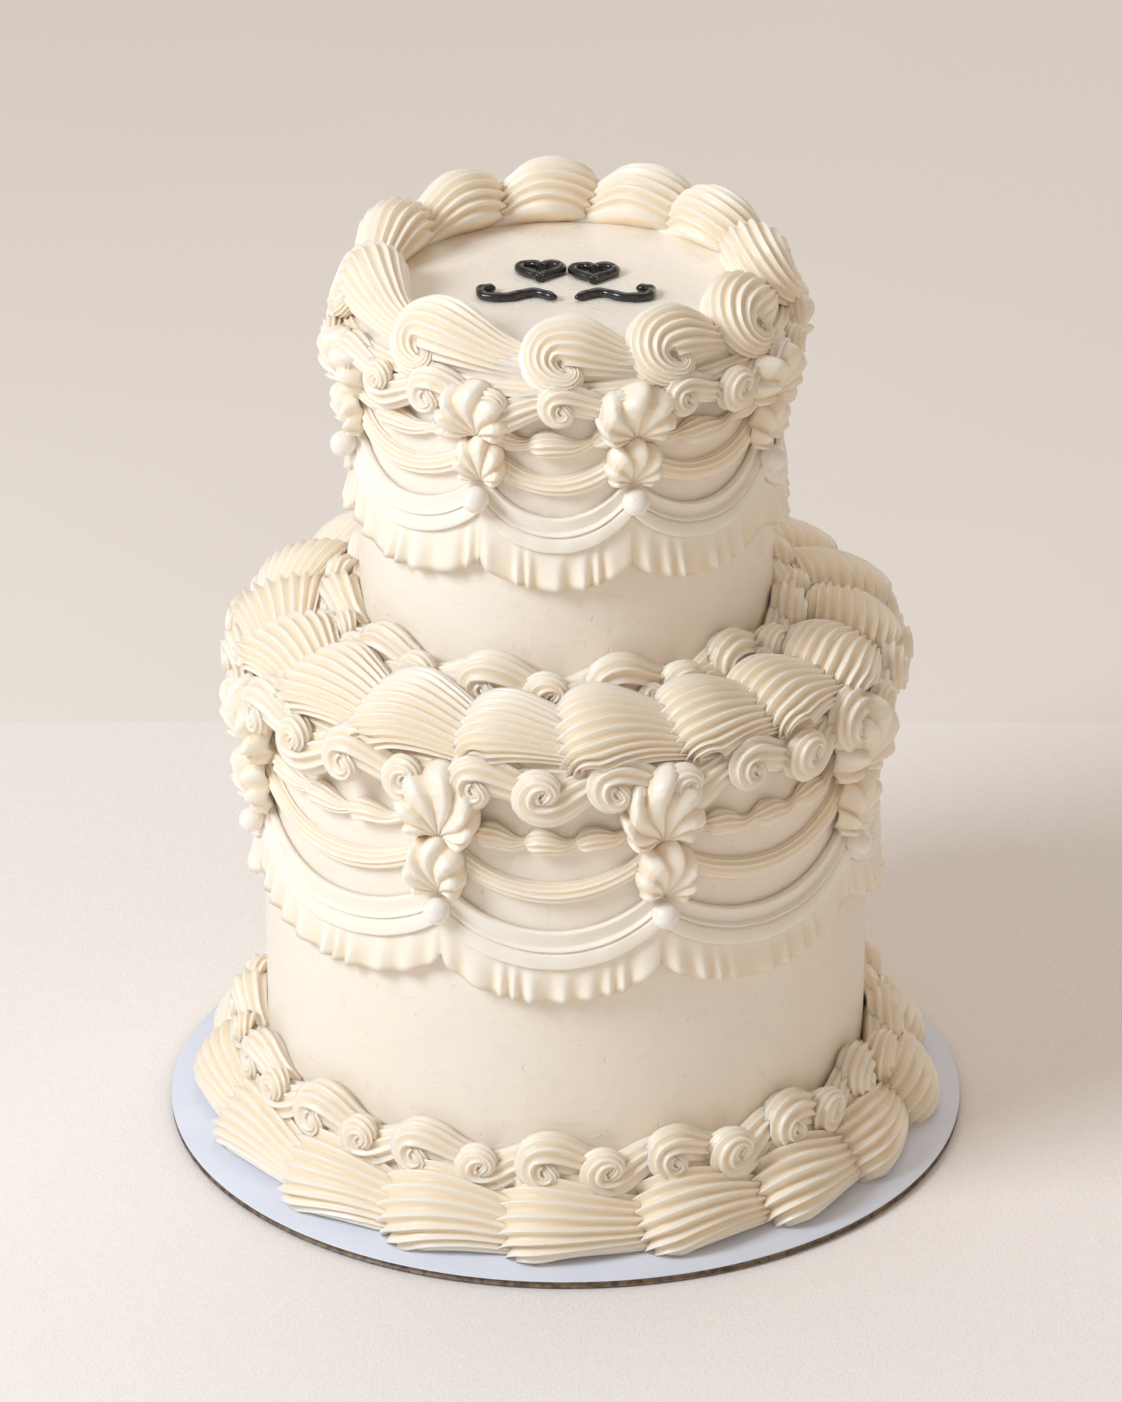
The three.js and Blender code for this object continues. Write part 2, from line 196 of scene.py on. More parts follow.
def angles_round(position, ribs, spread):
    """Angles round a tube: of the ribs, which cover spread to both sides, and of the plain back."""
    front = 2 * position / ribs - 1
    back = np.linspace(-1, 1, BACK_POINTS + 2)[1:-1]
    return np.hstack([front * spread, math.pi + back * (math.pi - spread)])


def with_grooves(grid, groove):
    """Adds the fourth column to a grid: 1 in a hollow and 0 on a crest."""
    return np.concatenate([grid, np.broadcast_to(groove, grid.shape[:2])[..., None]], -1)


def pipe(points, axis, size, ribs, depth, facing=0.0, span=2.0, per_rib=6, twist=0.0,
         jag=0.0, fan=0.0, sway=0.0, tip=0.0):
    """A ribbed tube along points. Its section is an ellipse of half sizes size[:, 0] in the plane of
    the path and size[:, 1] along axis. Ribs cover an angle of span to both sides of facing. They
    turn by twist from end to end, are deeper by jag behind the head, spread by fan towards the start,
    sway from side to side, and reach forward by tip at the head."""
    tangent = unit(np.gradient(points, axis=0))
    axis = unit(axis - (axis * tangent).sum(-1, keepdims=True) * tangent)
    side = np.cross(axis, tangent)
    share = np.linspace(0, 1, len(points))[:, None]
    position = rib_positions(ribs, per_rib)
    crest = np.append(ridge(position), np.zeros(BACK_POINTS))
    turn = angles_round(position, ribs, span * (1 + fan * (0.5 - share))) + facing + twist * share
    turn = turn + sway * np.sin(2 * math.pi * (SWAYS * share + random.uniform(0, 1)))
    in_plane, along_axis = size[:, :1], size[:, 1:2]
    x, y = in_plane * np.sin(turn), along_axis * np.cos(turn)
    out = unit(np.stack([x / in_plane**2, y / along_axis**2], -1))
    rib_width = 2 * span * np.sqrt((in_plane**2 + along_axis**2) / 2) / ribs
    lift = crest - LEVEL
    raised = depth * (1 + jag * bell(share, *JAG_PLACE)) * rib_width * lift
    x, y = x + raised * out[..., 0], y + raised * out[..., 1]
    grid = points[:, None, :] + x[..., None] * side[:, None, :] + y[..., None] * axis[:, None, :]
    reach = tip * lift * bell(share, *TIP_PLACE)
    grid = grid + reach[..., None] * unit(points[0] - points[-1])
    return with_grooves(grid, 1 - crest)


THINNEST = 0.15  # the smallest half size of a shape
LEAN_JITTER = 4  # degrees


def ring_place(angle, radius, height, lean):
    """Maps (along the ring, up the leaning plane, out of it) to points and the axis out of the plane."""
    lean = math.radians(lean)

    def place(x, y, w):
        turn = angle + np.degrees(x / radius)
        r = radius + y * math.cos(lean) + w * math.sin(lean)
        z = height + y * math.sin(lean) - w * math.cos(lean)
        outward = on_ring(1.0, turn, 0.0)
        axis = outward * math.sin(lean) - np.array([0, 0, 1.0]) * math.cos(lean)
        return on_ring(r, turn, z), axis

    return place


def shell(place, rows, steps, scale=(1.0, 1.0, 1.0), flip=1, **style):
    """One piped shape. A row is x, y, w, the half size in the plane and the half size along the axis."""
    curve = smooth(rows, steps)
    x, y, w = curve[:, 0] * scale[0], curve[:, 1] * scale[1] * flip, curve[:, 2] * scale[2]
    points, axis = place(x, y, w)
    size = np.maximum(curve[:, 3:5] * [scale[1], scale[2]], THINNEST)
    return pipe(points, axis, size, **style)


def wobble(amount):
    return 1 + random.uniform(-amount, amount)


# The head of a shell swells up and back, and its tail runs on below the next head.
FAN_ROWS = [
    (1.0, -5.0, 4.0, 1.4, 2.6),
    (-3.6, -4.0, 3.2, 3.2, 6.2),
    (-6.0, -0.6, 1.9, 5.2, 9.8),
    (-5.0, 2.8, 0.6, 5.6, 12.0),
    (0.0, 4.3, -0.3, 5.0, 12.0),
    (7.0, 3.2, -0.1, 4.3, 10.4),
    (14.5, 1.2, 0.8, 3.4, 8.8),
    (22.0, -1.0, 1.8, 2.4, 7.4),
]
# The curled shell starts in an eye at its foot, goes round over the head and off to the right.
CURL_ROWS = [
    (-1.4, -1.8, 3.4, 1.4, 1.6),
    (0.4, -3.4, 4.4, 1.9, 2.0),
    (1.7, -5.6, 4.4, 2.3, 2.4),
    (0.2, -7.4, 4.0, 2.9, 3.0),
    (-2.6, -6.7, 3.5, 3.8, 4.0),
    (-4.6, -4.3, 3.1, 4.9, 5.0),
    (-4.7, -1.1, 2.8, 6.3, 6.1),
    (-2.6, 1.5, 2.6, 7.5, 6.9),
    (2.2, 2.1, 2.3, 8.1, 7.0),
    (8.0, 1.0, 1.4, 6.8, 5.8),
    (13.6, -0.6, 0.4, 5.2, 4.6),
    (19.0, -1.8, -0.2, 4.2, 3.8),
    (25.0, -2.6, -0.8, 3.2, 2.8),
]
CURL_HEAD = 2.0
# A small curl of a border, in units of its head radius; its tail is stretched to the next curl.
SCROLL_ROWS = [
    (-0.14, 0.24, 0.95, 0.2, 0.2),
    (0.1, 0.0, 1.22, 0.27, 0.28),
    (0.26, -0.28, 1.18, 0.34, 0.36),
    (0.08, -0.52, 1.1, 0.44, 0.46),
    (-0.26, -0.48, 1.0, 0.56, 0.56),
    (-0.48, -0.14, 0.9, 0.66, 0.66),
    (-0.4, 0.28, 0.78, 0.76, 0.74),
    (0.04, 0.46, 0.68, 0.82, 0.74),
    (0.6, 0.32, 0.56, 0.8, 0.68),
    (1.2, 0.04, 0.46, 0.72, 0.6),
    (1.9, -0.26, 0.34, 0.66, 0.54),
    (2.9, -0.44, 0.2, 0.58, 0.46),
]
SCROLL_HEAD = 0.8


def even_angles(count, first, jitter):
    """Angles of a row of shells, each up to a share jitter of the pitch away from its even place."""
    return [first + (i + random.uniform(-jitter, jitter)) * 360 / count for i in range(count)]


def stretch_tail(rows, head, end):
    """Rows of a shell whose tail, past head along the ring, is made to run on to end."""
    rows = np.array(rows)
    tail = rows[:, 0] > head
    rows[tail, 0] = head + (rows[tail, 0] - head) * (end - head) / (rows[-1, 0] - head)
    return rows


FAN_STEPS = 40
FAN_STYLE = {"depth": 0.62, "facing": math.pi / 2, "span": 1.8, "jag": 0.6, "sway": 0.1}


def shell_ring(angles, radius, height, lean, scale, lowest=0.0, **style):
    """A row of shells with fan-shaped heads; none of their icing is lower than lowest."""
    body = Body()
    for angle in angles:
        grow = wobble(0.05)
        size = (scale[0], scale[1] * grow * wobble(0.04), scale[2] * grow)
        place = ring_place(angle, radius, height, lean + random.uniform(-LEAN_JITTER, LEAN_JITTER))
        grid = shell(place, FAN_ROWS, FAN_STEPS, size, **FAN_STYLE, **style)
        grid[..., 2] = np.maximum(grid[..., 2], lowest)
        body.add_grid(grid)
    return body


FOOT_RING = {
    "radius": 83.4, "height": 9.0, "lean": 42, "scale": (1.16, 1.1, 0.9),
    "lowest": BOARD_THICKNESS - 0.5, "ribs": 11, "fan": 0.4, "tip": 1.5,
}
EDGE_RING = {
    "radius": 70.0, "height": 132.0, "lean": 70, "scale": (1.0, 0.95, 1.0),
    "ribs": 13, "fan": 0.45, "tip": 1.2,
}


def make_foot_shells(icing):
    shells = shell_ring(even_angles(17, -1.0, 0.06), **FOOT_RING)
    shells.build("foot_shell_piping", icing, "foot_shells")


def make_lower_edge(icing):
    fans = shell_ring(even_angles(18, 8.0, 0.05), **EDGE_RING)
    fans.build("lower_edge_piping", icing, "lower_edge_shells")


# The shells on the upper tier are piped one by one: the angles of their heads. They are fuller at the back.
UPPER_EDGE_HEADS = [0, 30, 60, 98, 128, 154, 184, 213, 243, 276, 320]
UPPER_EDGE_RADIUS = 46.2
UPPER_EDGE_HEIGHT = 222.2  # of the heads at the sides
UPPER_EDGE_RISE = 2.3  # how much higher they are at the back
UPPER_EDGE_LEAN = 128
UPPER_EDGE_STEPS = 56
UPPER_EDGE_STYLE = {"ribs": 12, "depth": 0.56, "facing": 0.5, "span": 2.05, "fan": 0.2, "sway": 0.08}


def make_upper_edge(icing):
    body = Body()
    for angle, following in zip(UPPER_EDGE_HEADS, UPPER_EDGE_HEADS[1:] + [360]):
        front = math.cos(math.radians(angle))
        full = (1.04 - 0.1 * front) * wobble(0.03)
        pitch = math.radians(following - angle) * UPPER_EDGE_RADIUS
        rows = stretch_tail(CURL_ROWS, CURL_HEAD, pitch - 2)
        lean = UPPER_EDGE_LEAN + random.uniform(-LEAN_JITTER, LEAN_JITTER)
        place = ring_place(angle, UPPER_EDGE_RADIUS, UPPER_EDGE_HEIGHT - UPPER_EDGE_RISE * front, lean)
        body.add_grid(shell(place, rows, UPPER_EDGE_STEPS, (1.0, full, full), **UPPER_EDGE_STYLE))
    body.build("upper_edge_piping", icing, "upper_edge_shells")


ROPE_STEPS = 180
ROPE_GAP = 0.5  # from the wall to the middle of the rope
ROPE_STYLE = {"ribs": 6, "depth": 0.5, "span": 1.8, "per_rib": 4}


def backing_rope(wall, height, half):
    """A ribbed rope against a tier's wall that closes the gap over a row of scrolls."""
    angle = np.linspace(0, 360, ROPE_STEPS, endpoint=False)
    size = np.full((len(angle), 2), half)
    points = on_ring(wall + ROPE_GAP, angle, np.full_like(angle, height))
    return pipe(points, on_ring(1.0, angle, 0.0), size, **ROPE_STYLE)


SCROLL_STEPS = 30
SCROLL_STYLE = {"ribs": 7, "depth": 0.58, "span": 2.1, "per_rib": 4}
SCROLL_GAP = 0.6  # from the wall to the middle of a border
UPRIGHT = 90


def make_scrolls(icing, name, node, wall, count, first, middle, head, lean=UPRIGHT, rope=None):
    """A border of scrolls that turn over and under its middle line in turn."""
    body = Body()
    if rope:
        body.add_grid(backing_rope(wall, *rope), ring=True)
    radius = wall + SCROLL_GAP
    pitch = 360 / count
    for i in range(count):
        flip = 1 if i % 2 == 0 else -1
        angle = first + (i + random.uniform(-0.06, 0.06)) * pitch
        size = head * wobble(0.07)
        rows = stretch_tail(np.array(SCROLL_ROWS) * size, SCROLL_HEAD * size, math.radians(pitch) * radius)
        place = ring_place(angle, radius, middle + flip * 0.15 * head, lean)
        body.add_grid(shell(place, rows, SCROLL_STEPS, flip=flip, facing=0.3 * flip, **SCROLL_STYLE))
    body.build(name, icing, node)


# Borders of scrolls: the wall they lie against, and for some the height and half size of a rope.
BORDERS = [
    {"name": "foot_scroll_piping", "node": "foot_curls", "wall": LOWER["radius"],
     "count": 32, "first": -3.4, "middle": 22.4, "head": 5.8},
    {"name": "waist_scroll_piping", "node": "waist_curls", "wall": UPPER["radius"],
     "count": 22, "first": -19.4, "middle": 138.6, "head": 5.8},
    {"name": "lower_top_scroll_piping", "node": "lower_top_curls", "wall": LOWER["radius"],
     "count": 30, "first": 8.7, "middle": 124.4, "head": 5.8, "rope": (126.4, 3.4)},
    {"name": "upper_top_scroll_piping", "node": "upper_top_curls", "wall": UPPER["radius"],
     "count": 22, "first": -2.0, "middle": 211.2, "head": 4.7, "rope": (213.6, 2.8)},
    {"name": "shelf_scroll_piping", "node": "shelf_curls", "wall": 56.4,
     "count": 22, "first": 4.0, "middle": 132.6, "head": 4.9, "lean": 140},
]


def make_borders(icing):
    for border in BORDERS:
        make_scrolls(icing, **border)


# ---- swags ----
def swag_line(edge_and_sag, count):
    """Angles, heights and shares along each swag in turn."""
    share = np.linspace(0, 1, count)
    for start, end in SWAGS:
        yield start + (end - start) * share, height_at(edge_and_sag, share), share


def swag_ring(count):
    """Angles and shares along each swag in turn, which join into a ring."""
    share = np.linspace(0, 1, count, endpoint=False)
    return [(start + (end - start) * share, share) for start, end in SWAGS]


LINE_GAP = 0.8  # from the wall to the middle of a string or a garland
STRING_STEPS = 50
STRING_HALF = (2.3, 1.8)  # half its height and half its thickness
STRING_STYLE = {"ribs": 5, "depth": 0.4, "span": 1.7, "per_rib": 5, "twist": 0.25}


def make_string(tier, icing):
    body = Body()
    for angle, height, share in swag_line(tier["string"], STRING_STEPS):
        points = on_ring(tier["radius"] + LINE_GAP, angle, height)
        uneven = 1 + 0.05 * np.sin(share * 11 + random.uniform(0, 6))
        size = uneven[:, None] * STRING_HALF
        body.add_grid(pipe(points, on_ring(1.0, angle, 0.0), size, **STRING_STYLE))
    body.build(f"{tier['name']}_string_piping", icing, f"{tier['name']}_string")


GARLAND_STEPS = 80
GARLAND_STYLE = {"ribs": 7, "depth": 0.52, "span": 2.0, "per_rib": 4, "twist": 2.4}
BEAD_RISE = 0.2  # the share of a small shell in which it rises to its head
BEAD_FALL = 0.75  # the share in which it falls off to its tail


def bead_swell(phase):
    """How full a small shell is, from 0 to 1, at a share of its length."""
    rise = np.sin(np.clip(phase / BEAD_RISE, 0, 1) * math.pi / 2)
    fall = np.cos(np.clip((phase - BEAD_RISE) / BEAD_FALL, 0, 1) * math.pi / 2) ** 1.5
    return rise * fall


def make_garland(tier, icing):
    """A thin rope with small shells, each with a steep head and a long tail to its right."""
    body = Body()
    for angle, height, share in swag_line(tier["garland"], GARLAND_STEPS):
        phase = (share * (tier["beads"] + 0.4) + random.uniform(0.15, 0.3)) % 1.0
        swell = bead_swell(phase)
        radius = tier["radius"] + LINE_GAP + 1.2 * swell
        points = on_ring(radius, angle, height + 0.7 * np.sin(phase * 2 * math.pi))
        size = np.stack([1.3 + 1.7 * swell, 1.2 + 1.4 * swell], -1)
        body.add_grid(pipe(points, on_ring(1.0, angle, 0.0), size, **GARLAND_STYLE))
    body.build(f"{tier['name']}_garland_piping", icing, f"{tier['name']}_garland")


# The ribbon's section from its foot up: the share of its height and how far it stands out.
RIBBON_SECTION = [
    (0.0, 0.0), (0.0, 2.3), (0.01, 2.8), (0.03, 3.05), (0.06, 3.1), (0.38, 2.8), (0.405, 2.6),
    (0.42, 2.1), (0.435, 1.7), (0.45, 1.8), (0.465, 2.2), (0.485, 2.5), (0.51, 2.6), (0.535, 2.5),
    (0.555, 2.1), (0.575, 1.5), (0.595, 1.25), (0.62, 1.25), (0.8, 1.35), (0.94, 1.75),
    (0.97, 1.75), (0.99, 1.4), (1.0, 0.9), (1.0, 0.0),
]
RIBBON_STEPS = 50
BAND_GAP = 0.3  # from the wall to the back of a ribbon or a frill


def make_ribbon(tier, icing):
    section = np.array(RIBBON_SECTION)
    angle, share = map(np.concatenate, zip(*swag_ring(RIBBON_STEPS)))
    foot = height_at(tier["ribbon_foot"], share)
    head = height_at(tier["ribbon_head"], share)
    wave = 1 + 0.03 * np.sin(angle * 0.31) + 0.025 * np.sin(angle * 0.83 + 1)
    out = tier["radius"] + BAND_GAP + section[None, :, 1] * wave[:, None]
    height = foot[:, None] + (head - foot)[:, None] * section[None, :, 0]
    body = Body()
    body.add_grid(on_ring(out, angle[:, None], height), ring=True)
    body.build(f"{tier['name']}_ribbon_piping", icing, f"{tier['name']}_ribbon")


FRILL_STEPS = 150
FRILL_ROWS = 7  # points from the head of the frill to its hem
FOLD_SWING = 2.4  # how much further than the rest a fold stands out at the hem


def uneven_folds(share, folds):
    """How far the folds of a frill stand out along a swag, from 0 to 1."""
    shift = random.uniform(0, 6.3, 3)
    phase = folds * share + 0.3 * np.sin(2 * math.pi * 2.3 * share + shift[0])
    phase += 0.12 * np.sin(2 * math.pi * 4.1 * share + shift[1])
    fold = 0.5 - 0.5 * np.cos(2 * math.pi * phase)
    return fold * (0.82 + 0.18 * np.sin(2 * math.pi * 1.7 * share + shift[2]))


def make_frill(tier, icing):
    ring = swag_ring(FRILL_STEPS)
    angle, share = map(np.concatenate, zip(*ring))
    fold = np.concatenate([uneven_folds(along, tier["folds"]) for _, along in ring])
    edge, sag = tier["frill"]
    head = height_at(tier["ribbon_foot"], share) + 0.6
    foot = edge - sag * sag_at(share) ** 0.7 + 0.5 * fold
    swing = 1.0 + FOLD_SWING * fold * (0.5 + 0.5 * np.clip(sag_at(share) * 2, 0, 1))
    drop = np.linspace(0, 1, FRILL_ROWS)
    front = 1.7 + (swing[:, None] - 0.4) * drop[None, :] ** 1.2
    back = 0.1 + 0.2 * front[:, ::-1]
    out = tier["radius"] + BAND_GAP + np.hstack([front, back])
    height = head[:, None] + (foot - head)[:, None] * np.concatenate([drop, drop[::-1]])[None, :]
    # Painted shade between the folds, stronger towards the hem: it goes into the groove column, which the
    # icing turns into a warmer darker colour.
    painted_fold_shade = np.clip(1.25 - swing / FOLD_SWING, 0, 1)[:, None] * drop[None, :] ** 0.5
    grid = with_grooves(on_ring(out, angle[:, None], height), np.hstack([painted_fold_shade, np.zeros_like(painted_fold_shade)]))
    body = Body()
    body.add_grid(grid, ring=True)
    body.build(f"{tier['name']}_frill_piping", icing, f"{tier['name']}_frill")


# ---- drops and pearls ----
# A shell of a drop is a fan of petals that opens upwards from its foot. For the directions of the
# petals' tips, in degrees from the top, their reach as a share of the shell's height.
TIP_ANGLES = (0, 15, 30, 45, 60, 80, 100)
TIP_REACHES = (1.0, 0.97, 0.87, 0.73, 0.59, 0.43, 0.3)
PETALS = 7
PER_PETAL = 7
PETAL_CREST = 0.8  # where across a petal its crest is
# How far the shell stands out from the wall, as a share of its thickness, on the way to a tip.
SWELL_SHARES = (0, 0.15, 0.35, 0.55, 0.75, 0.88, 0.96, 1.0)
SWELLS = (0.35, 0.5, 0.74, 0.93, 1.0, 0.9, 0.66, 0.3)
# How strongly its petals stand out.
RELIEF_SHARES = (0, 0.3, 0.8, 1)
RELIEFS = (0.25, 0.6, 1, 1)
DROP_GAP = 0.4  # from the wall to the back of a drop
# The upper and the lower shell of a drop, at full width.
HIGH_FAN = {"width": 18.5, "thickness": 10.6, "steps": 30}
LOW_FAN = {"width": 13.4, "thickness": 8.2, "steps": 24}


def petal(position):
    """The height of a petal that swells up to its crest and then drops, at a place counted in petals."""
    share = position % 1.0
    rise = np.sin(np.clip(share / PETAL_CREST, 0, 1) * math.pi / 2)
    return np.minimum(rise, (1 - share) / (1 - PETAL_CREST))


def with_back(front):
    """Adds the points of a plain back between the last and the first column of a grid."""
    ends = np.linspace(1, 0, BACK_POINTS + 2)[1:-1]
    return np.hstack([front, front[:, :1] + (front[:, -1:] - front[:, :1]) * ends])


def petal_fan(tier, angle, foot, height, fan, wide, swirl):
    """A fan of petals against a tier's wall, as a closed grid from its foot to its tips. Its directions
    open out on the way to the tips and sway by swirl."""
    position = np.arange(PETALS * PER_PETAL + 1) / PER_PETAL + random.uniform(-0.06, 0.06)
    position = np.clip(position, 0.02, PETALS - 0.02)
    crest = petal(position)
    across = 2 * position / PETALS - 1
    tip = TIP_ANGLES[-1] * across
    reach = np.interp(abs(tip), TIP_ANGLES, TIP_REACHES) * (1 + 0.12 * (crest - 0.4))
    share = (1 - (1 - np.linspace(0.02, 1, fan["steps"])) ** 1.3)[:, None]
    turn = np.radians(tip * (0.62 + 0.38 * share)) + swirl * np.sin(math.pi * share)
    x = with_back(fan["width"] * wide * share * reach * np.sin(turn))
    y = with_back(height * share * reach * np.cos(turn))
    swell = np.interp(share, SWELL_SHARES, SWELLS) * (1 - 0.45 * abs(across) ** 3)
    relief = 0.25 * (crest - 0.5) * np.interp(share, RELIEF_SHARES, RELIEFS)
    out = fan["thickness"] * wide * (swell + relief)
    behind = np.zeros((len(out), BACK_POINTS))
    radius = tier["radius"] + DROP_GAP + np.maximum(np.hstack([out, behind]), 0.1)
    grid = on_ring(radius, angle + np.degrees(x / tier["radius"]), foot + y)
    return with_grooves(grid, np.append(1 - crest, behind[0]))


def make_drops(tier, icing, pearl):
    drop = tier["drop"]
    high = (drop["joint"] + 0.8, drop["top"] - drop["joint"] + 0.6, HIGH_FAN)
    low = (drop["foot"] - 0.4, drop["joint"] - drop["foot"] + 2.0, LOW_FAN)
    for i, angle in enumerate(JOINTS):
        wide = tier["drop_width"] * wobble(0.05)
        swirl = random.choice([-1, 1]) * random.uniform(0.1, 0.35)
        aside = random.uniform(-0.5, 0.5)
        body = Body()
        body.add_grid(petal_fan(tier, angle + aside, *high, wide, swirl))
        body.add_grid(petal_fan(tier, angle - aside, *low, wide, -0.7 * swirl))
        body.build(f"{tier['name']}_drop_piping_{i + 1}", icing, f"{tier['name']}_drop_{i + 1}")
        make_pearl(tier, i, angle, pearl)


PEARL_RADIUS = 3.3
PEARL_GAP = 2.2  # from the wall to the pearl
PEARL_RINGS = 20
PEARL_STEPS = 32
POLE = 0.06  # the angle of the last ring from the pole


def make_pearl(tier, i, angle, pearl):
    centre = on_ring(tier["radius"] + PEARL_GAP + PEARL_RADIUS, angle, tier["drop"]["pearl"])
    lat = np.linspace(POLE, math.pi - POLE, PEARL_RINGS)[:, None]
    lon = np.linspace(0, 2 * math.pi, PEARL_STEPS, endpoint=False)[None, :]
    ball = np.stack([np.sin(lat) * np.cos(lon), np.sin(lat) * np.sin(lon), np.cos(lat) + 0 * lon], -1)
    body = Body()
    body.add_grid(centre + PEARL_RADIUS * ball)
    body.build(f"{tier['name']}_pearl_ball_{i + 1}", pearl, f"{tier['name']}_pearl_{i + 1}")


# ---- tiers, board and the dark piping ----
def turned(outline, steps):
    """A body of revolution: rows go round, columns follow the outline of radius and height."""
    outline = np.array(outline)
    angle = np.linspace(0, 360, steps, endpoint=False)[:, None]
    return on_ring(outline[None, :, 0], angle, outline[None, :, 1])


TIER_GAP = 0.3  # under a tier
TIER_BEVEL = 2.0  # radius of a tier's soft top edge
TIER_STEPS = 160
BOARD_STEPS = 256


def make_tier(tier, icing):
    radius, base, top = tier["radius"], tier["base"] + TIER_GAP, tier["top"]
    inner, below = radius - TIER_BEVEL, top - TIER_BEVEL
    outline = [(0.01, base), (radius * 0.5, base), (radius, base)]
    outline += [(radius, height) for height in np.linspace(base + 2, top - 4, 14)]
    for turn in np.linspace(math.pi / 2, 0, 6):
        outline.append((inner + TIER_BEVEL * math.sin(turn), below + TIER_BEVEL * math.cos(turn)))
    outline += [(radius * share, top) for share in (0.8, 0.6, 0.4, 0.2)]
    outline += [(0.4, top), (0.01, top)]
    body = Body()
    body.add_grid(turned(outline, TIER_STEPS), ring=True)
    body.build(f"{tier['name']}_tier_icing", icing, f"{tier['name']}_tier")


def make_board(card):
    """A round card: its raw edge is set back a little between the two faces of paper."""
    edge, top = BOARD_RADIUS, BOARD_THICKNESS
    outline = [
        (0.01, 0.0), (edge - 0.2, 0.0), (edge - 0.05, 0.15), (edge - 0.05, 0.4), (edge - 0.45, 0.5),
        (edge - 0.45, 1.45), (edge, 1.55), (edge, top - 0.15), (edge - 0.15, top), (80.0, top), (0.01, top),
    ]
    body = Body()
    body.add_grid(turned(outline, BOARD_STEPS), ring=True)
    body.build("cake_board", card, "board")


LINE_RADIUS = 1.2


def round_line(x, y, dark, name, node, closed=False):
    """A line of dark icing that lies on the upper tier and follows flat points."""
    points = np.stack([x, y, np.full_like(x, UPPER["top"] + LINE_RADIUS * 0.9)], -1)
    size = np.full((len(x), 2), LINE_RADIUS)
    up = np.tile([0.0, 0.0, 1.0], (len(x), 1))
    if closed:
        points = np.vstack([points, points[:1]])
        size, up = size[:1].repeat(len(points), 0), up[:1].repeat(len(points), 0)
    else:
        ends = np.minimum(np.arange(len(x)), np.arange(len(x))[::-1])
        size *= np.sqrt(np.clip((ends[:, None] + 0.4) / 4, 0, 1))
    size = size * (1 + 0.06 * np.sin(np.arange(len(size)) * 0.7))[:, None]
    body = Body()
    body.add_grid(pipe(points, up, size, ribs=4, depth=0.0, per_rib=4))
    body.build(name, dark, node)


HEART_SIZE = 5.2
HEART_STEPS = 72
HEARTS = (("left", -6.2, 6.0), ("right", 6.8, 4.6))  # side and middle
SCROLL_LINE_STEPS = 60
SCROLL_LINE = [(2.2, -13), (8, -9.5), (14, -12.5), (19.5, -12), (20.5, -7.5), (17, -6.5)]


def make_motif(dark):
    turn = np.linspace(0, 2 * math.pi, HEART_STEPS, endpoint=False)
    x = np.sin(turn) ** 3
    y = (13 * np.cos(turn) - 5 * np.cos(2 * turn) - 2 * np.cos(3 * turn) - np.cos(4 * turn)) / 16
    for side, middle_x, middle_y in HEARTS:
        names = (f"heart_piping_{side}", f"motif_heart_{side}")
        round_line(middle_x + HEART_SIZE * x, middle_y + HEART_SIZE * y, dark, *names, closed=True)
    x, y = smooth(SCROLL_LINE, SCROLL_LINE_STEPS).T
    round_line(-x, y, dark, "scroll_piping_left", "motif_scroll_left")
    round_line(x, y, dark, "scroll_piping_right", "motif_scroll_right")


# ---- materials ----
MIX_FACTOR, MIX_A, MIX_B = 0, 6, 7  # a mix node's sockets for colours


class Graph:
    """A short way to build a node material."""

    def __init__(self, name, slot):
        self.material = bpy.data.materials.new(name)
        self.material.use_nodes = True
        self.material["slot"] = slot
        self.tree = self.material.node_tree
        self.shader = self.tree.nodes["Principled BSDF"]
        self.place = self.node("ShaderNodeTexCoord").outputs["Object"]

    def node(self, kind, links=None, **values):
        node = self.tree.nodes.new(kind)
        for key, value in values.items():
            setattr(node, key, value)
        for key, value in (links or {}).items():
            self.set(node, key, value)
        return node

    def set(self, node, key, value):
        socket = node.inputs[key]
        if hasattr(value, "links"):
            self.tree.links.new(value, socket)
        else:
            socket.default_value = value

    def noise(self, scale, detail=3.0, roughness=0.5, distortion=0.0, stretch=None):
        vector = self.place
        if stretch:
            vector = self.node("ShaderNodeMapping", {"Vector": vector, "Scale": stretch}).outputs[0]
        links = {
            "Vector": vector, "Scale": scale, "Detail": detail, "Roughness": roughness,
            "Distortion": distortion,
        }
        return self.node("ShaderNodeTexNoise", links).outputs["Fac"]

    def spread(self, value, low, high, to_low=0.0, to_high=1.0):
        links = {"Value": value, "From Min": low, "From Max": high, "To Min": to_low, "To Max": to_high}
        return self.node("ShaderNodeMapRange", links).outputs[0]

    def mix(self, factor, a, b):
        node = self.node("ShaderNodeMix", data_type="RGBA")
        self.set(node, MIX_FACTOR, factor)
        self.set(node, MIX_A, a)
        self.set(node, MIX_B, b)
        return node.outputs[2]

    def bump(self, height, strength, distance, normal=None):
        links = {"Height": height, "Strength": strength, "Distance": distance}
        if normal is not None:
            links["Normal"] = normal
        return self.node("ShaderNodeBump", links).outputs[0]

    def finish(self, **sockets):
        for key, value in sockets.items():
            self.set(self.shader, key.replace("_", " "), value)
        return self.material


# Colours light and deeper, which vary at random, and a warm painted shade for hollows: the spread icing of a
# tier, and piped icing, whose hollows are painted a warmer shade.
SPREAD_ICING = ((0.95, 0.86, 0.75, 1), (0.93, 0.83, 0.70, 1), (0.91, 0.74, 0.51, 1))
PIPED_ICING = ((0.97, 0.865, 0.73, 1), (0.955, 0.83, 0.675, 1), (0.93, 0.72, 0.45, 1))
# A painted highlight: piped icing is mixed towards this whiter colour where the groove value is near 0, which
# is on crests and also on plain backs, end caps and pieces without grooves, such as the ribbon.
PAINTED_CREST_HIGHLIGHT = (1.0, 0.94, 0.86, 1)
PAINTED_HIGHLIGHT_SHARE = 0.35  # how much of it the crests of piped icing take


